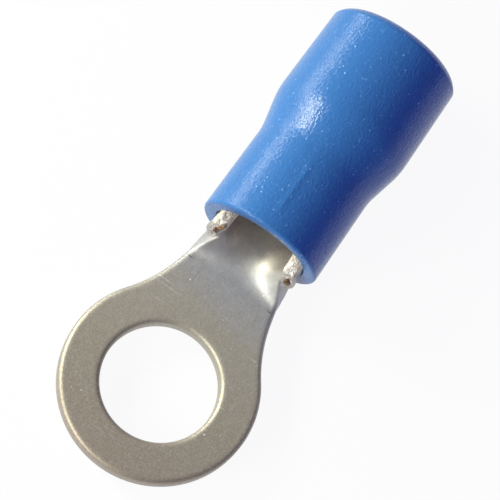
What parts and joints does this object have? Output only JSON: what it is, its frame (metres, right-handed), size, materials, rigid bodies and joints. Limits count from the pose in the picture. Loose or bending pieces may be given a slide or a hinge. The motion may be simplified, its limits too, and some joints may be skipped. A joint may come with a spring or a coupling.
{
  "type": "insulated ring terminal",
  "caption": "Crimp ring terminal: flat tinned tongue with a stud hole, rolled barrel pressed into a blue sleeve with a flared wire entry.",
  "frame": {"origin": "centre of the stud hole, on the tongue's flat underside", "axes": "+X along the terminal from the stud hole to the wire entry, +Z along the stud hole's axis to the side where the barrel's seam closes"},
  "size_m": [0.0228, 0.009, 0.0066],
  "materials": {
    "tinned_copper": "satin tin plate on copper, bare copper on the sheared barrel ends",
    "blue_pvc": "satin moulded PVC with fine scuffs"
  },
  "bodies": {
    "root": {"terminal_body": "tinned_copper", "insulating_sleeve": "blue_pvc"}
  },
  "joints": []
}
